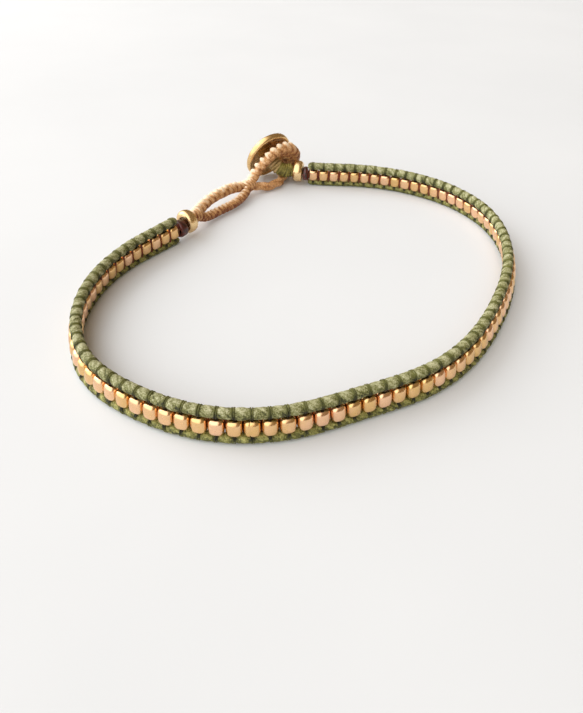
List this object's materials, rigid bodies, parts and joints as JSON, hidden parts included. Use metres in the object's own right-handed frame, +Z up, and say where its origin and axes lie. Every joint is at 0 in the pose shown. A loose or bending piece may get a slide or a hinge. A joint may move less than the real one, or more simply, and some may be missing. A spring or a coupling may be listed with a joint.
{
  "type": "bracelet",
  "caption": "Slim bracelet: a row of upright brass beads laced between two waxed cords, closed by a corded loop with eyelets round a disc button.",
  "frame": {"origin": "middle of the whole bracelet's outline, on the surface that it stands on", "axes": "+Z up across the band's width; the button and corded clasp are towards +Y, the plain front of the band towards -Y"},
  "size_m": [0.0632, 0.0692, 0.0089],
  "materials": {
    "brass": "satin, with a slightly rosy cast",
    "green_cord": "waxed polyester cord, pale olive, with darker thread wraps",
    "tan_cord": "waxed cord in tight half hitches",
    "dark_spacer": "dark brown, slightly glossy"
  },
  "bodies": {
    "root": {"bead_row": "brass", "lower_edge_cord": "green_cord", "upper_edge_cord": "green_cord", "left_spacer": "dark_spacer", "right_spacer": "dark_spacer", "left_end_bead": "brass", "right_end_bead": "brass", "clasp_loop": "tan_cord", "button": "brass", "button_stem": "green_cord"}
  },
  "joints": []
}
